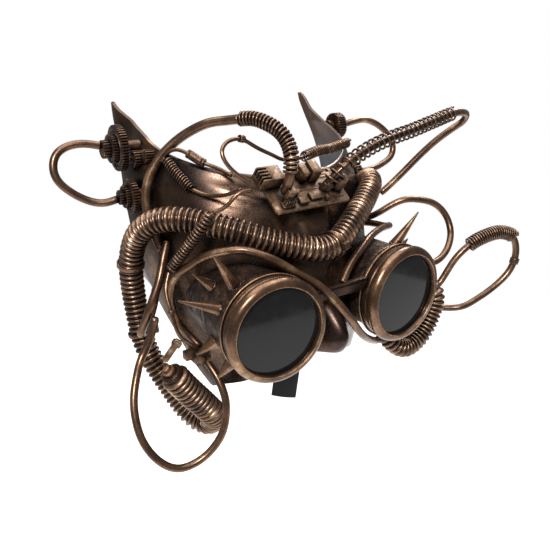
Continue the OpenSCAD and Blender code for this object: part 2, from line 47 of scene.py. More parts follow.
# ---- Driving sizes, the same as the CAD's -------------------------------------------------------------
HALF_WIDTH = 79
SHELL_WALL = 2.2
HORN_TIP_Z = 107
HORN_LEAN = 7.5
STRAP_HOLE_R = 2.5
STRAP_HOLE_Y = 64
STRAP_HOLE_Z = 50
EYE_HOLE_R = 21
EYE_X = 46
RIM_Y = -60
SPLAY = 4.5
BEZEL_R = 30
OPENING_R = 25
THREAD_R = 27
THREAD_GAP = 0.08
CUP_R = 26.5
CUP_WALL = 2.6
HOSE_R = 7.2
HOSE_FLARE = 1.2
TUBE_R = 2.3
CROWN_TUBE_R = 2.7
SIDE_TUBE_R = 2.5
WIRE_R = 1.1
BARREL_R = 2.6
RIBBON_W = 22
RIBBON_T = 0.8
SIDES = {"right": -1, "left": 1}

# ---- Routes of the hoses, tubes, wires and ribbons, the same points as the CAD's ------------------------
FOREHEAD_ROUTE = [(67, 9, 54), (59, -6, 60), (51, -16, 58), (38, -25, 52), (23, -34, 46), (12, -39, 40),
    (1, -43, 36), (-10, -43, 35), (-21, -40, 38), (-33, -34, 41), (-46, -26, 46), (-56, -16, 49),
    (-66, -5, 51), (-74, 2, 52), (-79, 8, 51), (-84, 14, 48), (-88, 21, 42), (-90, 28, 32),
    (-91, 32, 20), (-90, 35, 4), (-89, 35, -11), (-88, 33, -26), (-86, 30, -38), (-82, 26, -50),
    (-77, 21, -62), (-72, 15, -74), (-67, 8, -82), (-61, 0, -83), (-60, -8, -75), (-66, -13, -65),
    (-74, -14, -54), (-82, -14, -43), (-88, -14, -34)]
CHEEK_ROUTE = [(86, -26, -10), (91, -34, -11), (94, -39, -15), (94, -40, -22), (92, -40, -30),
    (88, -40, -39), (82, -40, -46), (74, -40, -50), (66, -40, -50), (58, -38, -44), (54, -34, -37),
    (52, -30, -31.5)]
TEMPLE_RIGHT_ROUTE = [(-94, 56, 86), (-103, 58, 88), (-112, 60, 87), (-119, 60, 83), (-122, 58, 76),
    (-121, 56, 69), (-115, 54, 62), (-106, 52, 56), (-98, 49, 54), (-90, 47, 56)]
TEMPLE_LEFT_ROUTE = [(85, 55, 86), (93, 53, 88), (104, 52, 89), (115, 50, 85), (125, 48, 77),
    (129, 46, 69), (126, 44, 61), (114, 42, 56), (102, 40, 54), (90, 38, 54)]
CROWN_ROUTE = [(-24, -30, 67), (-26, -37, 73), (-25, -38, 85), (-24, -34, 92), (-25, -28, 98),
    (-28, -20, 102), (-32, -10, 104), (-38, 4, 102), (-46, 14, 100), (-55, 23, 94), (-63, 28, 87),
    (-70, 31, 79), (-76, 32, 69), (-79, 31, 58), (-79, 29, 48), (-77, 26, 37), (-75, 22, 28)]
SIDE_ROUTE = [(-72, 20, 34), (-76, 18, 25), (-80, 14, 17), (-84, 12, 9), (-88, 11, 2), (-91, 12, -6),
    (-93, 15, -14), (-94, 18, -20), (-91, 21, -21), (-87, 21, -14), (-83, 21, -4), (-81, 21, 6)]
LOWER_LOOP_ROUTE = [(-88, 7, -6), (-90, 8, -14), (-94, 8, -23), (-99, 7, -30), (-104, 2, -37),
    (-109, -4, -47), (-111, -10, -58), (-110, -16, -69), (-105, -22, -79), (-97, -26, -86),
    (-88, -28, -87), (-77, -30, -82), (-68, -31, -72), (-64, -30, -61), (-63, -28, -50),
    (-64, -22, -40), (-66, -14, -33), (-67, -8, -30)]
BROW_ROUTE = [(-66, -4, -26), (-70, 2, -20), (-75, 5, -12), (-78, 5, -2), (-80, 3, 7), (-79, -2, 19),
    (-77, -8, 25), (-72, -13, 30), (-68, -19, 35), (-62, -25, 38), (-53, -33, 40), (-46, -38, 38),
    (-38, -43, 34), (-27, -46, 26), (-17, -52, 19), (-10, -58, 11), (-5, -61, 4), (1, -62, -4),
    (9, -60, -14), (21, -54, -24), (36, -46, -33), (50, -38, -37), (56, -28, -35)]
BRIDGE_ROUTE = [(75, 22, 22), (80, 10, 23), (80, -2, 24), (76, -10, 27), (58, -20, 30), (40, -30, 30),
    (26, -38, 27), (14, -44, 23), (5, -49, 18), (2, -51, 15)]
HORN_ROUTE = [(2, -27, 62), (4, -31, 68), (13, -36, 78), (25, -36, 84), (38, -35, 88), (53, -34, 91),
    (66, -33, 93), (89, -30, 97), (108, -27, 100), (118, -26, 100), (127, -22, 98), (130, -18, 93),
    (124, -14, 88), (116, -8, 80), (108, -2, 70), (99, 3, 59), (91, 7, 50), (85, 10, 44)]
CHEEK_TUBE_ROUTE = [(74, 23, 26), (78, 16, 26), (82, 9, 30), (90, 4, 36), (97, -1, 40), (106, -6, 40),
    (116, -12, 37), (122, -18, 29), (122, -24, 18), (113, -30, 9), (102, -33, 4), (94, -33, 3)]
OUTER_ROUTE = [(93, -35, -15), (98, -36, -14), (102, -37, -10), (106, -38, -3), (111, -40, 6),
    (119, -43, 14), (129, -46, 19), (142, -49, 21), (153, -52, 17), (156, -54, 8), (156, -54, -1),
    (152, -53, -10), (143, -50, -19), (131, -46, -27), (118, -42, -32), (106, -28, -34), (92, -26, -30),
    (80, -26, -24), (68, -26, -18)]
GOGGLE_SPRING_ROUTE = [(-64, -20, 58), (-69, -18, 50), (-75, -11, 38), (-81, -4, 26)]
BROW_SPRING_ROUTE = [(-68, 23, 81), (-66.5, 18, 75.5), (-64, 13, 71), (-61.5, 8, 66)]
CROWN_SPRING_ROUTE = [(7, -5, 79), (22, 2, 80), (36, 9, 79), (52, 17, 79), (64, 23, 79)]
CROWN_WIRE_ROUTE = [(-44, -8, 74), (-47, 2, 77), (-52, 8, 79), (-58, 16, 84), (-62, 23, 86),
    (-66, 26, 84), (-69, 29, 79)]
LOOP_WIRE_ROUTE = [(-45, -29, 74), (-54, -27, 81), (-58, -24, 88), (-57, -22, 92), (-52, -20, 95),
    (-43, -18, 95), (-32, -16, 89), (-21, -14, 84), (-12, -12, 80), (3, -7, 79)]
BROW_WIRE_ROUTE = [(-61, 8, 66), (-58, 2, 64), (-54, -5, 63.5), (-52, -16, 66), (-48, -25, 70)]
GOGGLE_WIRE_ROUTE = [(-44, -29, 70), (-51, -27, 69), (-57, -25, 62), (-63, -21, 59)]
GOGGLE_WIRE_LOW = [(-82, -3, 24), (-86, -6, 15), (-86, -12, 4), (-84, -15.5, -9), (-77, -13, -17),
    (-70, -8, -24)]
RIBBON_RIGHT_ROUTE = [(-76.2, 56, 36), (-75.4, 60, 22), (-72, 65, 5), (-65, 70, -10), (-55, 76, -22),
    (-44, 82, -32), (-34, 88, -44), (-26, 93, -58), (-21, 96, -74), (-18, 98, -92)]
RIBBON_LEFT_ROUTE = [(76.2, 56, 36), (76, 64, 18), (74, 70, 0), (70, 72, -22), (65, 73, -44),
    (60, 73, -66), (55, 72, -88), (50, 71, -110), (45, 70, -139)]

# ---- Camera, first ---------------------------------------------------------------------------------------
CAMERA_AT = (-204, -293, 141)
CAMERA_AZIMUTH = -33.5
CAMERA_ELEVATION = 21
LENS_MM = 39.3


def make_camera():
    data = bpy.data.cameras.new("camera")
    data.lens = LENS_MM
    data.sensor_width = 36
    data.clip_start, data.clip_end = 0.01, 20
    camera = bpy.data.objects.new("camera", data)
    camera.location = Vector(CAMERA_AT) * MM
    camera.rotation_euler = (math.radians(90 - CAMERA_ELEVATION), 0, math.radians(CAMERA_AZIMUTH))
    bpy.context.scene.collection.objects.link(camera)
    bpy.context.scene.camera = camera


make_camera()

# ---- Materials ------------------------------------------------------------------------------------------
# the near black of the painted shade in grooves and hollows, and of the grime specks
DARK = (0.014, 0.011, 0.011)


class Nodes:
    """Short names for building a node tree."""

    def __init__(self, name):
        self.material = bpy.data.materials.new(name)
        self.material.use_nodes = True
        self.tree = self.material.node_tree
        self.shader = self.tree.nodes["Principled BSDF"]
        self.place = self.add("ShaderNodeTexCoord").outputs["Object"]

    def add(self, kind, **settings):
        node = self.tree.nodes.new(kind)
        for key, value in settings.items():
            setattr(node, key, value)
        return node

    def link(self, a, b):
        self.tree.links.new(a, b)

    def noise(self, size_mm, detail=4.0, roughness=0.6, stretch=None):
        """Noise whose blotches are about size_mm across."""
        node = self.add("ShaderNodeTexNoise")
        node.inputs["Scale"].default_value = 1 / (size_mm * MM)
        node.inputs["Detail"].default_value = detail
        node.inputs["Roughness"].default_value = roughness
        place = self.place
        if stretch:
            mapping = self.add("ShaderNodeMapping")
            mapping.inputs["Scale"].default_value = stretch
            self.link(place, mapping.inputs["Vector"])
            place = mapping.outputs["Vector"]
        self.link(place, node.inputs["Vector"])
        return node.outputs["Fac"]

    def ramp(self, value, low, high, dark=0.0, light=1.0):
        node = self.add("ShaderNodeMapRange", interpolation_type="SMOOTHSTEP")
        node.inputs["From Min"].default_value = low
        node.inputs["From Max"].default_value = high
        node.inputs["To Min"].default_value = dark
        node.inputs["To Max"].default_value = light
        self.link(value, node.inputs["Value"])
        return node.outputs["Result"]

    def mix(self, amount, a, b):
        node = self.add("ShaderNodeMix", data_type="RGBA")
        self.link(amount, node.inputs["Factor"])
        for value, socket in ((a, node.inputs[6]), (b, node.inputs[7])):
            if isinstance(value, tuple):
                socket.default_value = (*value, 1)
            else:
                self.link(value, socket)
        return node.outputs[2]

    def math(self, operation, a, b):
        node = self.add("ShaderNodeMath", operation=operation)
        for value, socket in ((a, node.inputs[0]), (b, node.inputs[1])):
            if isinstance(value, (int, float)):
                socket.default_value = value
            else:
                self.link(value, socket)
        return node.outputs[0]

    def occlusion_for_shade(self, reach_mm):
        """Ambient occlusion, used for painted shade: 1 on open surfaces, 0 deep in a groove."""
        node = self.add("ShaderNodeAmbientOcclusion", samples=6)
        node.inputs["Distance"].default_value = reach_mm * MM
        return node.outputs["AO"]

    def bump(self, height, strength, depth_mm):
        node = self.add("ShaderNodeBump")
        node.inputs["Strength"].default_value = strength
        node.inputs["Distance"].default_value = depth_mm * MM
        self.link(height, node.inputs["Height"])
        self.link(node.outputs["Normal"], self.shader.inputs["Normal"])

    def set(self, **values):
        for key, value in values.items():
            self.shader.inputs[key.replace("_", " ")].default_value = value


def antique(name, low, mid, high, reach=3.0, blotch=9.0, grime=0.45, rough=0.3, grain=0.12):
    """Copper paint rubbed over black, bright where it is handled, with painted shade that darkens its
    grooves.
    """
    n = Nodes(name)
    # painted shade: the occlusion darkens grooves and hollows towards DARK
    painted_shade_mask = n.ramp(n.occlusion_for_shade(reach), 0.5, 0.98)
    patches = n.noise(blotch, 5)
    speckle = n.noise(1.1, 3, 0.7)
    wear = n.math("ADD", n.math("MULTIPLY", patches, 0.75), n.math("MULTIPLY", speckle, 0.25))
    worn = n.ramp(wear, 0.30, 0.62)
    paint = n.mix(worn, low, mid)
    paint = n.mix(n.ramp(patches, 0.56, 0.74, 0, 0.7), paint, high)
    paint = n.mix(n.ramp(speckle, 0.30, 0.46, grime, 0), paint, DARK)
    n.link(n.mix(painted_shade_mask, DARK, paint), n.shader.inputs["Base Color"])
    n.link(n.ramp(speckle, 0.2, 0.8, rough + 0.22, rough), n.shader.inputs["Roughness"])
    n.set(Metallic=0.85, Coat_Weight=0.06, Coat_Roughness=0.2)
    n.bump(speckle, grain, 0.12)
    return n.material


def leather(name):
    """The cups' crackled, almost black hide with copper rubbed over it, and painted shade in its hollows."""
    n = Nodes(name)
    cells = n.add("ShaderNodeTexVoronoi", feature="DISTANCE_TO_EDGE")
    cells.inputs["Scale"].default_value = 1 / (2.4 * MM)
    n.link(n.place, cells.inputs["Vector"])
    ridge = n.ramp(cells.outputs["Distance"], 0.0, 0.16)
    patches = n.noise(6, 5)
    paint = n.mix(n.ramp(patches, 0.38, 0.68), (0.035, 0.021, 0.016), (0.19, 0.11, 0.068))
    # dark cracks of the hide, and painted shade where the occlusion finds a hollow
    crackle_and_painted_shade = n.math("MULTIPLY", ridge, n.ramp(n.occlusion_for_shade(2.5), 0.4, 0.9))
    n.link(n.mix(crackle_and_painted_shade, DARK, paint), n.shader.inputs["Base Color"])
    n.link(n.ramp(patches, 0.3, 0.7, 0.5, 0.3), n.shader.inputs["Roughness"])
    n.set(Metallic=0.7)
    n.bump(ridge, 0.5, 0.25)
    return n.material


def lens_plastic():
    n = Nodes("smoked_lens")
    smears = n.noise(7, 4)
    n.link(n.mix(smears, (0.005, 0.005, 0.005), (0.012, 0.011, 0.011)), n.shader.inputs["Base Color"])
    n.link(n.ramp(smears, 0.35, 0.7, 0.05, 0.12), n.shader.inputs["Roughness"])
    n.set(IOR=1.5, Specular_IOR_Level=0.3)
    return n.material


def gasket_rubber():
    n = Nodes("gasket_rubber")
    grain = n.noise(0.8, 3)
    n.link(n.mix(grain, (0.01, 0.01, 0.01), (0.03, 0.029, 0.028)), n.shader.inputs["Base Color"])
    n.set(Roughness=0.7)
    n.bump(grain, 0.3, 0.1)
    return n.material


def inside_plastic():
    """The shell's blue-grey inside, with the copper paint carried over the edge on to the horns' tips."""
    n = Nodes("inside_plastic")
    blotches = n.noise(14, 4)
    split = n.add("ShaderNodeSeparateXYZ")
    n.link(n.place, split.inputs["Vector"])
    ragged = n.math("ADD", split.outputs["Z"], n.math("MULTIPLY", blotches, 0.03))
    plastic = n.mix(blotches, (0.055, 0.059, 0.064), (0.14, 0.148, 0.16))
    n.link(n.mix(n.ramp(ragged, 0.080, 0.098), plastic, (0.075, 0.038, 0.024)), n.shader.inputs["Base Color"])
    n.link(n.ramp(blotches, 0.3, 0.7, 0.32, 0.5), n.shader.inputs["Roughness"])
    n.set(Metallic=0.35)
    n.bump(n.noise(0.7, 2), 0.2, 0.1)
    return n.material


def satin():
    n = Nodes("satin_ribbon")
    threads = n.noise(0.25, 1, 0.5, stretch=(1, 1, 0.08))
    n.link(n.mix(threads, (0.002, 0.002, 0.0025), (0.010, 0.010, 0.012)), n.shader.inputs["Base Color"])
    n.link(n.ramp(threads, 0.3, 0.7, 0.42, 0.28), n.shader.inputs["Roughness"])
    n.set(Sheen_Weight=0.04, Sheen_Roughness=0.4, Specular_IOR_Level=0.25)
    n.bump(threads, 0.3, 0.08)
    return n.material


shell_paint = antique("shell_paint", (0.02, 0.013, 0.011), (0.085, 0.048, 0.030), (0.32, 0.20, 0.115),
                      reach=7, blotch=26, grime=0.2, rough=0.17)
hose_paint = antique("hose_paint", (0.06, 0.036, 0.025), (0.26, 0.152, 0.094), (0.75, 0.55, 0.36), reach=2.2,
                     blotch=12, grime=0.3, rough=0.22)
tube_paint = antique("tube_paint", (0.06, 0.032, 0.021), (0.17, 0.093, 0.054), (0.44, 0.29, 0.17), reach=3,
                     blotch=14, grime=0.1, rough=0.2, grain=0.05)
coil_paint = antique("coil_paint", (0.045, 0.027, 0.019), (0.17, 0.098, 0.060), (0.5, 0.35, 0.22), reach=1.2,
                     blotch=5, rough=0.22)
gear_paint = antique("gear_paint", (0.025, 0.014, 0.01), (0.10, 0.052, 0.03), (0.28, 0.165, 0.09), reach=2,
                     blotch=7)
bezel_paint = antique("bezel_paint", (0.06, 0.032, 0.021), (0.18, 0.099, 0.056), (0.45, 0.30, 0.17), reach=3,
                      blotch=16, grime=0.2, rough=0.18)
collar_paint = antique("collar_paint", (0.015, 0.008, 0.006), (0.06, 0.03, 0.018), (0.2, 0.11, 0.06), reach=2)
board_paint = antique("board_paint", (0.04, 0.022, 0.015), (0.19, 0.112, 0.064), (0.6, 0.41, 0.25), reach=3.4,
                      blotch=5, rough=0.42, grain=0.06)
# bright copper for the bolt head, and for the beads that paint highlights on the goggles' edges
bright_copper = antique("bright_copper", (0.16, 0.08, 0.045), (0.4, 0.23, 0.13), (0.7, 0.48, 0.3), reach=1.5,
                        blotch=4)
cup_leather = leather("cup_leather")
smoked_lens = lens_plastic()
gasket_black = gasket_rubber()
shell_inside = inside_plastic()
ribbon_satin = satin()

# ---- Making meshes --------------------------------------------------------------------------------------


def piece(name, verts, faces, material, body="mask", replaces=(), slot=None):
    """A closed mesh in metres from points in millimetres."""
    mesh = bpy.data.meshes.new(name)
    mesh.from_pydata([Vector(v) * MM for v in verts], [], faces)
    mesh.validate()
    bm = bmesh.new()
    bm.from_mesh(mesh)
    bmesh.ops.recalc_face_normals(bm, faces=bm.faces)
    bm.to_mesh(mesh)
    bm.free()
    for face in mesh.polygons:
        face.use_smooth = True
    return finish_piece(name, mesh, material, body, replaces, slot)


def finish_piece(name, mesh, material, body="mask", replaces=(), slot=None):
    mesh.materials.clear()
    mesh.materials.append(material)
    o = bpy.data.objects.new(name, mesh)
    bpy.context.scene.collection.objects.link(o)
    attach(o, body)
    if replaces:
        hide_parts(*replaces)
    return o


def sharp_edges(mesh, degrees):
    """Smooth shading that keeps edges sharper than this."""
    bm = bmesh.new()
    bm.from_mesh(mesh)
    for face in bm.faces:
        face.smooth = True
    for edge in bm.edges:
        if len(edge.link_faces) == 2 and edge.calc_face_angle(0) > math.radians(degrees):
            edge.smooth = False
    bm.to_mesh(mesh)
    bm.free()


def curve(points, steps=12):
    """A smooth curve through the points."""
    p = [Vector(q) for q in points]
    out = []
    for i in range(len(p) - 1):
        a, b, c, d = p[max(i - 1, 0)], p[i], p[i + 1], p[min(i + 2, len(p) - 1)]
        for k in range(steps):
            u = k / steps
            out.append(0.5 * (2 * b + (c - a) * u + (2 * a - 5 * b + 4 * c - d) * u * u
                              + (3 * b - a - 3 * c + d) * u ** 3))
    return out + [p[-1]]


def eased(line, passes=10):
    """The same line without the small kinks of a listed route. Its ends stay."""
    for _ in range(passes):
        middle = [(a + b * 2 + c) / 4 for a, b, c in zip(line, line[1:], line[2:])]
        line = [line[0]] + middle + [line[-1]]
    return line


def stretch_of(points, start, end, steps=12):
    """The part of the curve between two of its points' numbers."""
    return curve(points, steps)[int(start * steps):int(end * steps) + 1]


def spaced(line, gap):
    """The same line with points an even distance of about gap apart, and its length."""
    total = sum((b - a).length for a, b in zip(line, line[1:]))
    count = max(2, round(total / gap))
    out, walked, i = [], 0.0, 0
    for k in range(count + 1):
        want = total * k / count
        while i < len(line) - 2 and walked + (line[i + 1] - line[i]).length < want:
            walked += (line[i + 1] - line[i]).length
            i += 1
        span = (line[i + 1] - line[i]).length or 1
        out.append(line[i].lerp(line[i + 1], min(1, (want - walked) / span)))
    return out, total


def tangent_at(line, i):
    return (line[min(i + 1, len(line) - 1)] - line[max(i - 1, 0)]).normalized()


def carried_frames(line):
    """A tangent and two side vectors at each point, carried along without twist."""
    tangents = [tangent_at(line, i) for i in range(len(line))]
    side = tangents[0].cross(Vector((0.3, 0.2, 1))).normalized()
    out = []
    for t in tangents:
        side = (side - side.dot(t) * t).normalized()
        out.append((t, side, t.cross(side)))
    return out


def sweep(line, radius_at, sides=16):
    """Points and faces of a closed tube along the line. radius_at gives the radius at a distance along it."""
    verts, faces, walked = [], [], 0.0
    for i, (point, (_, u, v)) in enumerate(zip(line, carried_frames(line))):
        if i:
            walked += (point - line[i - 1]).length
        r = radius_at(walked)
        for k in range(sides):
            a = 2 * math.pi * k / sides
            verts.append(point + (u * math.cos(a) + v * math.sin(a)) * r)
    for i in range(len(line) - 1):
        for k in range(sides):
            a, b = i * sides + k, i * sides + (k + 1) % sides
            faces.append((a, a + sides, b + sides, b))
    faces.append(tuple(range(sides)))
    faces.append(tuple(reversed(range((len(line) - 1) * sides, len(line) * sides))))
    return verts, faces


def smooth_tube(name, route, r, **more):
    """A bent tube with its cut ends rounded off."""
    line, total = spaced(eased(spaced(curve(route), 1.2)[0]), r * 0.5)

    def radius_at(s):
        edge = min(s, total - s) / (r * 0.4)
        return r * (0.8 + 0.2 * math.sqrt(max(0, 1 - (1 - edge) ** 2))) if edge < 1 else r

    verts, faces = sweep(line, radius_at, 16)
    return piece(name, verts, faces, tube_paint, **more)


# The forehead hose widens before its open end: how far back that starts, and over what length
FLARE_FROM = 74
FLARE_OVER = 12


def ribbed_hose(name, route, r, pitch, depth, replaces, flare=0, **more):
    """A corrugated hose: round ribs with deep grooves between them. It may widen on its last stretch."""
    line, total = spaced(eased(spaced(curve(route), 1.5)[0]), pitch / 8)
    ribs = round(total / pitch)

    def radius_at(s):
        phase = (s / total * ribs) % 1
        widened = r + flare * min(max((s - total + FLARE_FROM) / FLARE_OVER, 0), 1)
        return widened - depth + depth * abs(math.sin(math.pi * phase)) ** 0.9

    verts, faces = sweep(line, radius_at, 28)
    return piece(name, verts, faces, hose_paint, replaces=replaces, **more)


def helix_line(line, r, pitch, per_turn=14):
    """A helix of radius r round the line."""
    even, _ = spaced(line, pitch / per_turn)
    out = []
    for i, (point, (_, u, v)) in enumerate(zip(even, carried_frames(even))):
        a = 2 * math.pi * i / per_turn
        out.append(point + (u * math.cos(a) + v * math.sin(a)) * r)
    return out


def wound_wire(line, r, pitch, wire, sides=7):
    """Points and faces of a wire of radius wire wound round the line at radius r."""
    path = helix_line(line, r, pitch)
    return sweep(path, lambda s: wire, sides)


def joined(*meshes):
    verts, faces = [], []
    for v, f in meshes:
        faces += [tuple(i + len(verts) for i in face) for face in f]
        verts += list(v)
    return verts, faces


def lathe(profile, segments=96, place=Matrix.Identity(4)):
    """A closed outline of (r, z) turned round +Z, then placed. A point at r = 0 closes on the axis."""
    verts, faces, n = [], [], len(profile)
    for k in range(segments):
        a = 2 * math.pi * k / segments
        verts += [place @ Vector((r * math.cos(a), r * math.sin(a), z)) for r, z in profile]
    for k in range(segments):
        for i in range(n):
            a, b = k * n + i, k * n + (i + 1) % n
            c, d = ((k + 1) % segments) * n + (i + 1) % n, ((k + 1) % segments) * n + i
            faces.append((a, b, c, d))
    return verts, faces


def merged(verts, faces):
    """The same mesh without doubled points, such as a lathe's at its axis."""
    bm = bmesh.new()
    made = [bm.verts.new(v) for v in verts]
    for face in faces:
        try:
            bm.faces.new([made[i] for i in face])
        except ValueError:
            continue
    bmesh.ops.remove_doubles(bm, verts=bm.verts, dist=1e-4)
    bmesh.ops.dissolve_degenerate(bm, edges=bm.edges, dist=1e-5)
    bm.verts.ensure_lookup_table()
    bm.verts.index_update()
    out = [v.co.copy() for v in bm.verts], [tuple(v.index for v in f.verts) for f in bm.faces]
    bm.free()
    return out


def towards(point, direction):
    """A placement that turns +Z to the direction, at the point."""
    return Matrix.Translation(Vector(point)) @ Vector(direction).to_track_quat("Z", "Y").to_matrix().to_4x4()


def rounded_copy(node, name, material, bevel_mm=0.3, body="mask", **more):
    """A copy of a CAD node with its edges rounded off, which stands for it."""
    mesh = nodes[node].data.copy()
    bm = bmesh.new()
    bm.from_mesh(mesh)
    bmesh.ops.remove_doubles(bm, verts=bm.verts, dist=2e-6)
    bmesh.ops.dissolve_limit(bm, angle_limit=math.radians(1), verts=bm.verts, edges=bm.edges)
    bm.to_mesh(mesh)
    bm.free()
    o = finish_piece(name, mesh, material, body, replaces=(node,), **more)
    bevel = o.modifiers.new("rounded", "BEVEL")
    bevel.width, bevel.segments, bevel.limit_method = bevel_mm * MM, 2, "ANGLE"
    bevel.angle_limit = math.radians(40)
    applied = bpy.data.meshes.new_from_object(o.evaluated_get(bpy.context.evaluated_depsgraph_get()))
    o.modifiers.clear()
    o.data = applied
    applied.name = name
    sharp_edges(applied, 50)
    return o


# ---- Ribbon ties, the only free cords --------------------------------------------------------------------


def ribbon(side, route, across, curl):
    """A satin ribbon that keeps its width along across, with a slightly cupped section."""
    line, _ = spaced(curve(route), 3)
    across, columns = Vector(across), 10
    rows = []
    for i, point in enumerate(line):
        t = tangent_at(line, i)
        w = (across - across.dot(t) * t).normalized()
        h = t.cross(w)
        wave = curl * math.sin(4.2 * i / len(line) + 0.6)
        upper, lower = [], []
        for k in range(columns + 1):
            u = 2 * k / columns - 1
            middle = point + w * (u * RIBBON_W / 2 * (1 - 0.03 * abs(wave))) + h * (wave * (u * u - 0.33))
            upper.append(middle + h * RIBBON_T / 2)
            lower.append(middle - h * RIBBON_T / 2)
        rows.append(upper + lower[::-1])
    verts = [v for row in rows for v in row]
    n, faces = len(rows[0]), []
    for i in range(len(rows) - 1):
        for k in range(n):
            a, b = i * n + k, i * n + (k + 1) % n
            faces.append((a, a + n, b + n, b))
    faces += [tuple(range(n)), tuple(reversed(range((len(rows) - 1) * n, len(rows) * n)))]
    node = "ribbon_" + side
    o = piece("satin_ribbon_" + side, verts, faces, ribbon_satin, replaces=(node,), slot="satin_ribbon")
    sharp_edges(o.data, 60)
    return o


ribbon("right", RIBBON_RIGHT_ROUTE, (0, 1, 0), 1.2)
ribbon("left", RIBBON_LEFT_ROUTE, (0.8, -0.5, 0), 1.6)

# ---- The shell ------------------------------------------------------------------------------------------


def bell(v, w):
    return math.exp(-(v * v) / (w * w))


def face_y(z):
    return -41 + 0.0045 * max(z + 10, 0) ** 2 + 0.003 * min(z + 10, 0) ** 2


def back_y(z):
    return 58 + 0.0026 * max(z - 20, 0) ** 2


def width_at(z):
    return HALF_WIDTH - (0.0006 if z > 40 else 0.0016) * (z - 40) ** 2


def lean(t, z):
    return HORN_LEAN * bell(t - 86, 30 if t < 86 else 11) * min(max((z - 60) / 30, 0), 1) ** 2


def nose_relief(x, z):
    return bell(x, 9 + 4 * bell(z + 24, 9)) * (2 + 16 * bell(z + 18, 17))


def brow_relief(x, z):
    return 4 * bell(z - 26 - 0.42 * abs(x), 8) * bell(abs(x) - 32, 30)


def fine_relief(x, z):
    """Folds too fine for the CAD: furrows over the brow and a swept ridge up to each horn."""
    swept = 1.5 * bell(z - 50 - 0.35 * abs(x), 4) * bell(abs(x) - 34, 22)
    furrow = -1.2 * bell(z - 58 - 0.22 * abs(x), 3.5) * bell(abs(x) - 30, 26)
    centre = 1.3 * bell(abs(x) - 7 - 0.12 * (z - 40), 3) * bell(z - 46, 16)
    return swept + furrow + centre


def shell_point(t, z, inset):
    side = 1 if t > 0 else -1
    x = (width_at(z) - inset) * math.sin(math.radians(t)) - side * lean(abs(t), z) * (t != 0)
    y = back_y(z) - (back_y(z) - face_y(z) - inset) * math.cos(math.radians(t))
    return Vector((x, y - nose_relief(x, z) - brow_relief(x, z) - fine_relief(x, z), z))


LOWER_EDGE = [(0, -27), (8, -27), (14, -30), (20, -36), (28, -43), (40, -53), (50, -59), (58, -65), (64, -52),
              (72, -26), (80, -4), (86, 14), (92, 37), (95, 55), (97, 74), (99.5, 84.5), (102, 92), (104, 98),
              (105, 102)]
LAST_ANGLE = 105
TOP_ANGLE = 102


def lower_edge(t):
    for (a, low), (b, high) in zip(LOWER_EDGE, LOWER_EDGE[1:]):
        if t <= b:
            return low + (high - low) * (t - a) / (b - a)
    return LOWER_EDGE[-1][1]


def top_edge(t):
    return 70 + (HORN_TIP_Z - 70) * min(abs(t) / TOP_ANGLE, 1) ** 2


def goggle_place(side):
    """The goggles' own frame: +Z out of the lens, with its zero on the front rim."""
    return (Matrix.Translation((side * EYE_X, RIM_Y, 0)) @ Matrix.Rotation(math.radians(side * SPLAY), 4, "Z")
            @ Matrix.Rotation(math.pi / 2, 4, "X"))


def make_shell():
    rows, half = 72, 86
    angles = [LAST_ANGLE * k / half for k in range(-half, half + 1)]
    rounding = 0.8

    def grid(inset):
        out = []
        for r in range(rows + 1):
            line = []
            for t in angles:
                low, high = lower_edge(abs(t)), top_edge(t)
                line.append(shell_point(t, low + (high - low) * r / rows, inset))
            out.append(line)
        return out

    outer, inner = grid(0), grid(SHELL_WALL)
    edge = grid(SHELL_WALL / 2)
    cols, n = len(angles), (rows + 1) * len(angles)
    verts = [v for row in outer for v in row] + [v for row in inner for v in row]
    faces = []
    for r in range(rows):
        for c in range(cols - 1):
            a, b, d, e = r * cols + c, r * cols + c + 1, (r + 1) * cols + c + 1, (r + 1) * cols + c
            faces += [(a, b, d, e), (n + a, n + e, n + d, n + b)]
    rim = [(0, c) for c in range(cols)] + [(r, cols - 1) for r in range(1, rows + 1)]
    rim += [(rows, c) for c in range(cols - 2, -1, -1)] + [(r, 0) for r in range(rows - 1, 0, -1)]
    start = len(verts)
    for r, c in rim:  # the edge is rounded over by a row of points that stands out a little
        middle = edge[r][c]
        inward = edge[min(max(r, 2), rows - 2)][min(max(c, 2), cols - 3)] - middle
        verts.append(middle - inward.normalized() * rounding if inward.length > 0 else middle)
    for k, (r, c) in enumerate(rim):
        r2, c2 = rim[(k + 1) % len(rim)]
        a, b, m, m2 = r * cols + c, r2 * cols + c2, start + k, start + (k + 1) % len(rim)
        faces += [(a, m, m2, b), (n + a, n + b, m2, m)]
    o = piece("horned_shell", verts, faces, shell_paint, replaces=("mask_shell",), slot="mask_paint")
    cutters = []
    for side in SIDES.values():
        eye = [(0, -110), (EYE_HOLE_R, -110), (EYE_HOLE_R, 0), (0, 0)]
        cutters.append(lathe(eye, 64, goggle_place(side)))
        strap = (Matrix.Translation((side * 60, STRAP_HOLE_Y, STRAP_HOLE_Z))
                 @ Matrix.Rotation(math.pi / 2, 4, "Y"))
        cutters.append(lathe([(0, -40), (STRAP_HOLE_R, -40), (STRAP_HOLE_R, 40), (0, 40)], 32, strap))
    cut_from(o, cutters)
    o.data.materials.append(shell_inside)
    for face in o.data.polygons:  # the wall's inside is bare plastic
        p, normal = face.center / MM, face.normal
        outward = Vector((p.x, p.y - back_y(p.z), 0))
        if normal.dot(outward) < 0:
            face.material_index = 1
    sharp_edges(o.data, 42)
    return o


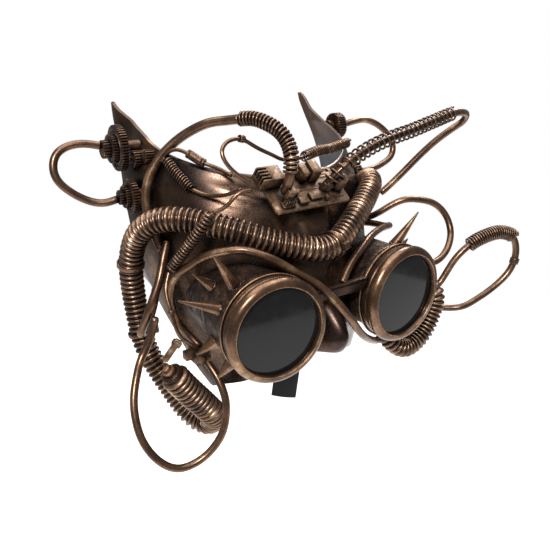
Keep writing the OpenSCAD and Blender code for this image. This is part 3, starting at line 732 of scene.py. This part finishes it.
def cut_from(o, cutters):
    """Cuts closed solids out of the piece."""
    for verts, faces in cutters:
        verts, faces = merged(verts, faces)
        mesh = bpy.data.meshes.new("cutter")
        mesh.from_pydata([Vector(v) * MM for v in verts], [], faces)
        bm = bmesh.new()
        bm.from_mesh(mesh)
        bmesh.ops.recalc_face_normals(bm, faces=bm.faces)
        bm.to_mesh(mesh)
        bm.free()
        tool = bpy.data.objects.new("cutter", mesh)
        bpy.context.scene.collection.objects.link(tool)
        cut = o.modifiers.new("cut", "BOOLEAN")
        cut.operation, cut.object, cut.solver = "DIFFERENCE", tool, "EXACT"
        made = bpy.data.meshes.new_from_object(o.evaluated_get(bpy.context.evaluated_depsgraph_get()))
        o.modifiers.clear()
        o.data = made
        bpy.data.objects.remove(tool)
        bpy.data.meshes.remove(mesh)


make_shell()

# ---- Goggles --------------------------------------------------------------------------------------------
FLANGE_Z = -12.4
FLANGE_T = 1.2
COLLAR_FRONT_Z = -6.6
LENS_BACK_Z = -5
LENS_FRONT_Z = -3.1
LIP_Z = -2.8


def arc(r, z, radius, start, end, steps=8):
    """Points of a round corner in a section, centred on (r, z), between two angles in degrees."""
    out = []
    for k in range(steps + 1):
        a = math.radians(start + (end - start) * k / steps)
        out.append((r + radius * math.cos(a), z + radius * math.sin(a)))
    return out


def make_bezel(name, side):
    back = FLANGE_Z + FLANGE_T + 0.4
    bore = THREAD_R + THREAD_GAP
    section = [(bore, back), (BEZEL_R - 1.6, back)] + arc(BEZEL_R - 1.6, back + 0.4, 0.4, -90, 0, 3)
    section += [(BEZEL_R - 1.1, -7.6), (BEZEL_R - 1.5, -7.1), (BEZEL_R - 1.1, -6.6), (BEZEL_R - 0.5, -5.6)]
    section += arc(BEZEL_R - 4, -4, 4, -10, 90, 16)
    section += [(OPENING_R + 0.9, -0.15)] + arc(OPENING_R + 0.9, -0.9, 0.6, 120, 180, 3)
    section += [(OPENING_R, -1.5), (OPENING_R, LIP_Z), (bore, LIP_Z)]
    verts, faces = merged(*lathe(section, 144, goggle_place(side)))
    o = piece("screw_bezel_" + name, verts, faces, bezel_paint, "bezel_ring_" + name, ("bezel_" + name,),
              "bezel_paint")
    sharp_edges(o.data, 40)
    # a painted highlight: a thin bead of brighter copper round the opening's edge
    ring = lathe(arc(OPENING_R + 0.75, -0.35, 0.34, 0, 330, 11), 120, goggle_place(side))
    piece("bezel_painted_highlight_ring_" + name, *ring, bright_copper, "bezel_ring_" + name, slot="bezel_paint")


def make_collar(name, side):
    inner = THREAD_R - CUP_WALL - 0.6
    section = [(inner, FLANGE_Z), (BEZEL_R - 0.9, FLANGE_Z)]
    section += arc(BEZEL_R - 0.9, FLANGE_Z + 0.6, 0.3, -60, 60, 4) + [(BEZEL_R - 0.9, FLANGE_Z + FLANGE_T)]
    z = FLANGE_Z + FLANGE_T
    section += [(THREAD_R - 0.5, z)]
    pitch = 0.9
    while z + pitch <= COLLAR_FRONT_Z:
        section += [(THREAD_R - 0.5, z + 0.15), (THREAD_R, z + 0.35), (THREAD_R, z + 0.55),
                    (THREAD_R - 0.5, z + 0.75)]
        z += pitch
    section += [(THREAD_R - 0.5, COLLAR_FRONT_Z), (inner, COLLAR_FRONT_Z)]
    verts, faces = merged(*lathe(section, 112, goggle_place(side)))
    o = piece("threaded_collar_" + name, verts, faces, collar_paint, "mask", ("goggle_collar_" + name,),
              "goggle_paint")
    sharp_edges(o.data, 35)
    # a painted highlight: a thin bead of brighter copper round the flange's edge
    ring = lathe(arc(BEZEL_R - 0.75, FLANGE_Z + 0.6, 0.42, 0, 330, 11), 112, goggle_place(side))
    piece("flange_painted_highlight_ring_" + name, *ring, bright_copper, slot="goggle_paint")


def make_lens(name, side):
    """A round lens, very slightly domed."""
    r = THREAD_R - 0.45
    dome = [(r * k / 12, LENS_FRONT_Z - 0.35 * (k / 12) ** 2) for k in range(12, -1, -1)]
    section = [(0, LENS_BACK_Z), (r - 0.3, LENS_BACK_Z), (r, LENS_BACK_Z + 0.3)] + dome
    verts, faces = merged(*lathe(section, 112, goggle_place(side)))
    o = piece("round_lens_" + name, verts, faces, smoked_lens, "lens_carrier_" + name, ("lens_" + name,),
              "smoked_lens")
    sharp_edges(o.data, 30)


# Each spike: its place along the goggle and angle round it, then its radius, length and lean forwards
SPIKES = {
    "right": [(-24, 124, 4.2, 26, 12), (-24, 158, 3.6, 24, -4), (-41, 141, 3.4, 15, 5),
              (-33, -150, 4.6, 14, -8), (-17, -138, 4.8, 14, 2)],
    "left": [(-22, 68, 3.8, 26, 22), (-24, 51, 2.8, 9, 20)],
}


def make_spikes(name, side):
    """Cones on beaded bases, pushed on to the cup."""
    parts = []
    for z, angle, r, length, lean_deg in SPIKES[name]:
        place = (goggle_place(side) @ Matrix.Rotation(math.radians(angle), 4, "Z")
                 @ Matrix.Translation((CUP_R - 0.5, 0, z))
                 @ Matrix.Rotation(math.radians(90 - lean_deg), 4, "Y"))
        section = [(0, 0), (r, 0)] + arc(r - 0.5, 0.9, 0.5, -60, 80, 5)
        section += [(r * 0.93, 1.3), (r * 0.90, 1.6)] + arc(0, length - 0.5, 0.4, 10, 90, 4)
        parts.append(lathe(section, 40, place))
    verts, faces = merged(*joined(*parts))
    o = piece("spikes_" + name, verts, faces, bezel_paint, replaces=("goggle_spikes_" + name,),
              slot="bezel_paint")
    sharp_edges(o.data, 45)


for side_name, side_sign in SIDES.items():
    rounded_copy("goggle_cup_" + side_name, "leather_cup_" + side_name, cup_leather, 0.25,
                 slot="goggle_paint")
    make_collar(side_name, side_sign)
    make_lens(side_name, side_sign)
    make_bezel(side_name, side_sign)
    make_spikes(side_name, side_sign)
    rounded_copy("lens_gasket_" + side_name, "rubber_gasket_" + side_name, gasket_black, 0.2,
                 "lens_carrier_" + side_name, slot="gasket_rubber")

# ---- Hoses, tubes, coils and springs ----------------------------------------------------------------------
ribbed_hose("forehead_corrugated_hose", FOREHEAD_ROUTE, HOSE_R, 3.4, 2.4, ("forehead_hose",), HOSE_FLARE,
            slot="hose_paint")
ribbed_hose("cheek_corrugated_hose", CHEEK_ROUTE, HOSE_R - 0.5, 3.1, 2.2, ("cheek_hose",), slot="hose_paint")

TUBES = [
    ("temple_loop_right", TEMPLE_RIGHT_ROUTE, TUBE_R), ("temple_loop_left", TEMPLE_LEFT_ROUTE, TUBE_R),
    ("crown_tube", CROWN_ROUTE, CROWN_TUBE_R), ("side_tube", SIDE_ROUTE, SIDE_TUBE_R),
    ("lower_loop_tube", LOWER_LOOP_ROUTE, TUBE_R), ("brow_tube", BROW_ROUTE, TUBE_R),
    ("bridge_tube", BRIDGE_ROUTE, TUBE_R), ("horn_hose", HORN_ROUTE, TUBE_R),
    ("cheek_tube", CHEEK_TUBE_ROUTE, TUBE_R), ("outer_loop_tube", OUTER_ROUTE, TUBE_R),
    ("crown_wire", CROWN_WIRE_ROUTE, WIRE_R), ("loop_wire", LOOP_WIRE_ROUTE, WIRE_R),
    ("brow_wire", BROW_WIRE_ROUTE, WIRE_R),
]
for node_name, route_points, tube_radius in TUBES:
    smooth_tube("bent_" + node_name, route_points, tube_radius, replaces=(node_name,), slot="tube_paint")
smooth_tube("bent_goggle_wire", GOGGLE_WIRE_ROUTE, WIRE_R, replaces=("goggle_wire",), slot="tube_paint")
smooth_tube("bent_goggle_wire_low", GOGGLE_WIRE_LOW, WIRE_R, slot="tube_paint")


def coil_piece(name, node, line, outer_r, wire, pitch, core_r=0):
    """A wire coil wound round a line, inside the radius of the node that it stands for."""
    parts = [wound_wire(line, outer_r - wire, pitch, wire)]
    if core_r:
        even, _ = spaced(line, 1.5)
        parts.append(sweep(even, lambda s: core_r, 16))
    verts, faces = joined(*parts)
    return piece(name, verts, faces, coil_paint, replaces=(node,), slot="coil_paint")


coil_piece("crown_tube_winding", "crown_tube_coil", stretch_of(CROWN_ROUTE, 1.5, 6.5), 4.3, 0.8, 2.2)
coil_piece("horn_hose_winding", "horn_hose_coil", stretch_of(HORN_ROUTE, 1, 8), 4.6, 0.62, 4.2)
coil_piece("outer_loop_winding", "outer_loop_coil", stretch_of(OUTER_ROUTE, 5, 8), 5.0, 0.7, 1.7)
coil_piece("brow_coil_spring", "brow_spring", curve(BROW_SPRING_ROUTE), 3.0, 0.62, 1.6, 1.2)
coil_piece("goggle_coil_spring", "goggle_spring", curve(GOGGLE_SPRING_ROUTE), 3.4, 0.75, 2.0, 1.4)
coil_piece("crown_coil_spring", "crown_spring", curve(CROWN_SPRING_ROUTE), 3.4, 0.6, 2.9)
smooth_tube("bent_crown_spring_core", [LOOP_WIRE_ROUTE[-1]] + CROWN_SPRING_ROUTE, WIRE_R, slot="coil_paint")

# ---- Gears ----------------------------------------------------------------------------------------------


def toothed(r, teeth, low, high, depth=1.0, chamfer=0.35, place=Matrix.Identity(4), dish=0.0, hub=0.0):
    """A gear with chamfered teeth, and a shallow dished web between its rim and its hub on the outer face."""
    outline = []
    for i in range(teeth):
        for share, dr in ((0, -depth), (0.28, -depth), (0.42, -0.12), (0.48, 0), (0.80, 0), (0.86, -0.12)):
            outline.append((math.radians(360 / teeth * (i + share)), r + dr))
    n = len(outline)

    def ring_at(inset, z, flat_r=None):
        points = []
        for a, radius in outline:
            q = flat_r if flat_r is not None else radius - inset
            points.append(place @ Vector((q * math.cos(a), q * math.sin(a), z)))
        return points

    rings = [ring_at(inset, z) for inset, z in
             ((chamfer, low), (0, low + chamfer), (0, high - chamfer), (chamfer, high))]
    if dish:
        rim = r - depth - 1.2
        rings += [ring_at(0, z, flat_r) for z, flat_r in
                  ((high, rim), (high - dish, rim - 0.5), (high - dish, hub + 0.9), (high, hub + 0.4))]
    verts = [v for ring in rings for v in ring]
    faces = []
    for j in range(len(rings) - 1):
        for k in range(n):
            a, b = j * n + k, j * n + (k + 1) % n
            faces.append((a, b, b + n, a + n))
    faces += [tuple(reversed(range(n))), tuple(range((len(rings) - 1) * n, len(rings) * n))]
    return verts, faces


def boss(r, low, high, place, dimple=0.0, segments=40):
    """A round boss with a rounded edge and, if asked, a dimple in its end."""
    section = [(0, low), (r, low)] + arc(r - 0.35, high - 0.35, 0.35, 0, 90, 4)
    if dimple:
        section += [(dimple + 0.2, high), (dimple, high - 0.3), (dimple * 0.5, high - 0.9), (0, high - 1.0)]
    else:
        section += [(0, high)]
    return merged(*lathe(section, segments, place))


def temple_place(side, point):
    """The outward direction at a temple: +Z becomes -X on the right and +X on the left."""
    return Matrix.Translation(Vector(point)) @ Matrix.Rotation(math.radians(side * 90), 4, "Y")


def gear_piece(name, node, place, parts):
    verts, faces = joined(*[make(*args, place=place, **more) for make, args, more in parts])
    o = piece(name, verts, faces, gear_paint, replaces=(node,), slot="gear_paint")
    sharp_edges(o.data, 32)
    return o


gear_piece("upper_gears_right", "upper_gear_stack", temple_place(-1, (-72.5, 56, 84)), [
    (boss, (4, -1.5, 9.1), {}),
    (toothed, (13.5, 48, 9, 13.5), {"depth": 1.1, "dish": 0.8, "hub": 8.8}),
    (toothed, (8.5, 32, 13.4, 17), {"depth": 0.9, "dish": 0.5, "hub": 5.6}),
    (toothed, (5.4, 18, 16.9, 21.5), {"depth": 0.8, "dish": 0.4, "hub": 2.6})])
gear_piece("lower_gears_right", "lower_gear_stack", temple_place(-1, (-74.5, 46, 57)), [
    (boss, (5, 1.5, 5.6), {}),
    (toothed, (10.5, 36, 5.5, 9.5), {"depth": 1.0, "dish": 0.6, "hub": 7.0}),
    (toothed, (6.8, 26, 9.4, 12.5), {"depth": 0.9, "dish": 0.4, "hub": 4.6}),
    (toothed, (4.4, 16, 12.4, 15.5), {"depth": 0.7, "dish": 0.3, "hub": 2.4})])
gear_piece("upper_gear_left_dished", "upper_gear_left", temple_place(1, (72.5, 55, 86)), [
    (boss, (4, -1, 3.6), {}),
    (toothed, (9, 32, 3.5, 10.5), {"dish": 0.9, "hub": 4.6}),
    (boss, (4.4, 10.4, 12.5), {"dimple": 1.6})])
gear_piece("lower_gear_left_dished", "lower_gear_left", temple_place(1, (74.5, 38, 54)), [
    (boss, (4, 0, 8.1), {}),
    (toothed, (6.5, 18, 8, 13.5), {}),
    (boss, (3.8, 13.4, 15.5), {"dimple": 1.5})])
pinions = joined(toothed(4.8, 16, 0, 7.5, 1.0, 0.3, temple_place(-1, (-71, 49, 78))),
                 boss(2, 7.3, 8.4, temple_place(-1, (-70.9, 49, 78)), 0.9),
                 toothed(3.9, 14, 0, 6, 0.9, 0.3, temple_place(-1, (-68, 42, 80))))
sharp_edges(piece("temple_pinion_pair", *pinions, gear_paint, replaces=("temple_pinions",),
                  slot="gear_paint").data, 32)

# ---- The forehead hose's open end and its fittings --------------------------------------------------------
HOSE_END = Vector(FOREHEAD_ROUTE[-1])
HOSE_END_DIR = (HOSE_END - Vector(FOREHEAD_ROUTE[-2])).normalized()
end_place = towards(HOSE_END, HOSE_END_DIR)
end_gear = toothed(6.4, 28, 0, 3.4, 0.6, 0.2, end_place, 0.7, 3.8)
sharp_edges(piece("hose_end_serrated_ring", *end_gear, gear_paint, replaces=("hose_end_gear",),
                  slot="gear_paint").data, 32)
rounded_copy("hose_end_bolt", "hose_end_bolt_head", bright_copper, 0.25, slot="gear_paint")

# ---- Circuit board --------------------------------------------------------------------------------------
BOARD_T = 1.6
board_place = (Matrix.Translation((-9, -27, 65)) @ Matrix.Rotation(math.radians(3), 4, "Z")
               @ Matrix.Rotation(math.radians(38), 4, "X"))


def block(low, high, place=Matrix.Identity(4), edge=0.25):
    """A box with chamfered edges, as eight-sided slices."""
    (x0, y0, z0), (x1, y1, z1) = low, high
    rings = []
    for inset, z in ((edge, z0), (0, z0 + edge), (0, z1 - edge), (edge, z1)):
        e = edge
        corners = [(x0 + inset + e, y0 + inset), (x1 - inset - e, y0 + inset), (x1 - inset, y0 + inset + e),
                   (x1 - inset, y1 - inset - e), (x1 - inset - e, y1 - inset), (x0 + inset + e, y1 - inset),
                   (x0 + inset, y1 - inset - e), (x0 + inset, y0 + inset + e)]
        rings.append([place @ Vector((x, y, z)) for x, y in corners])
    verts = [v for ring in rings for v in ring]
    faces = [(j * 8 + k, j * 8 + (k + 1) % 8, (j + 1) * 8 + (k + 1) % 8, (j + 1) * 8 + k)
             for j in range(3) for k in range(8)]
    return verts, faces + [tuple(reversed(range(8))), tuple(range(24, 32))]


def make_board_details():
    """Tracks, solder dots and small resistors that stand on the board's face."""
    parts = []
    tracks = [(-20, -5, -10, -5), (-3, -1, 8, -1), (-3, 1.2, 2, 1.2), (9, 4, 9, 9), (16, -9, 23, -9),
              (-22, -7, -15, -7), (3, -11.4, 14, -11.4), (12, 6, 20, 6), (12, 8.2, 20, 8.2)]
    resistors = [(11.5, 1.2), (15, 1.2), (18.5, 3.5), (-5.5, -1.2), (-12, 5.5), (13.5, 10), (17.5, 10)]
    for x0, y0, x1, y1 in tracks:
        parts.append(block((x0, y0 - 0.3 if y0 == y1 else y0, BOARD_T - 0.05),
                           (x1 + (0.6 if x0 == x1 else 0), y1 + 0.3, BOARD_T + 0.3), board_place, 0.08))
    for k in range(9):
        place = board_place @ Matrix.Translation((-11 + 2.3 * k, -7.1 + 0.5 * (k % 2), 0))
        parts.append(boss(0.6, BOARD_T - 0.05, BOARD_T + 0.55, place, segments=12))
    for x, y in resistors:
        parts.append(block((x, y, BOARD_T - 0.05), (x + 2.2, y + 1.2, BOARD_T + 0.8), board_place, 0.15))
    verts, faces = joined(*parts)
    o = piece("board_tracks_and_solder", verts, faces, board_paint, slot="board_paint")
    sharp_edges(o.data, 35)


make_board_details()
for node_name, bevel_size in (("circuit_board", 0.2), ("board_posts", 0.2), ("comb_connector", 0.3),
                              ("twin_connector", 0.35), ("board_capacitors", 0.4), ("pin_header", 0.12),
                              ("board_chips", 0.25)):
    rounded_copy(node_name, "painted_" + node_name, board_paint, bevel_size, slot="board_paint")

# ---- Small fittings -------------------------------------------------------------------------------------
rounded_copy("nose_bridge_bar", "painted_nose_bridge_bar", collar_paint, 0.4, slot="mask_paint")
for node_name in ("cable_ties", "wire_crimps"):
    rounded_copy(node_name, "painted_" + node_name, tube_paint, 0.2, slot="tube_paint")
for node_name in ("terminal_block", "bracket_lever"):
    rounded_copy(node_name, "painted_" + node_name, board_paint, 0.35, slot="board_paint")


def make_barrel():
    """The open-ended metal barrel on the crown wire."""
    line, total = spaced(stretch_of(CROWN_WIRE_ROUTE, 2, 3), 0.5)

    def radius_at(s):
        groove = 0.35 if abs(s - 1.6) < 0.3 or abs(s - total + 1.6) < 0.3 else 0
        return BARREL_R - groove

    verts, faces = sweep(line, radius_at, 28)
    o = piece("crown_wire_barrel_body", verts, faces, gear_paint, replaces=("crown_wire_barrel",),
              slot="coil_paint")
    sharp_edges(o.data, 35)


make_barrel()

# ---- Floor and light, in metres -------------------------------------------------------------------------
FLOOR_Z = -0.62


def make_floor():
    mesh = bpy.data.meshes.new("floor")
    bm = bmesh.new()
    bmesh.ops.create_grid(bm, x_segments=1, y_segments=1, size=1)
    for v in bm.verts:  # it ends 1.3 m in front of the mask, past the camera
        v.co.x *= 1.5
        v.co.y = 1.4 if v.co.y > 0 else -1.3
    bm.to_mesh(mesh)
    bm.free()
    floor = bpy.data.objects.new("floor", mesh)
    floor.location = (0, 0, FLOOR_Z)
    bpy.context.scene.collection.objects.link(floor)
    n = Nodes("floor_paper")
    grain = n.noise(3, 2)
    n.link(n.mix(grain, (0.93, 0.93, 0.93), (0.95, 0.95, 0.95)), n.shader.inputs["Base Color"])
    n.set(Roughness=0.9)
    mesh.materials.append(n.material)


def soft_light(name, at, target, size, power):
    data = bpy.data.lights.new(name, "AREA")
    data.shape, data.size, data.energy = "DISK", size, power
    light = bpy.data.objects.new(name, data)
    light.location = at
    light.rotation_mode = "QUATERNION"
    light.rotation_quaternion = (Vector(target) - Vector(at)).to_track_quat("-Z", "Y")
    bpy.context.scene.collection.objects.link(light)


def make_world():
    world = bpy.data.worlds.new("world")
    world.use_nodes = True
    tree = world.node_tree
    background = tree.nodes["Background"]
    background.inputs["Color"].default_value = (1, 1, 1, 1)
    seen = tree.nodes.new("ShaderNodeLightPath").outputs["Is Camera Ray"]
    strength = tree.nodes.new("ShaderNodeMapRange")
    strength.inputs["To Min"].default_value, strength.inputs["To Max"].default_value = 0.24, 1.0
    tree.links.new(seen, strength.inputs["Value"])
    tree.links.new(strength.outputs["Result"], background.inputs["Strength"])
    bpy.context.scene.world = world


make_floor()
make_world()
soft_light("overhead", (0.3, 0.5, 2.6), (0.3, 0.5, 0), 3.6, 135)
soft_light("key", (-0.75, -0.75, 0.85), (0, 0, 0), 0.32, 22)
soft_light("rim", (0.75, 0.45, 0.8), (0, 0, 0.03), 0.4, 8)
bpy.context.scene.view_settings.view_transform = "Standard"
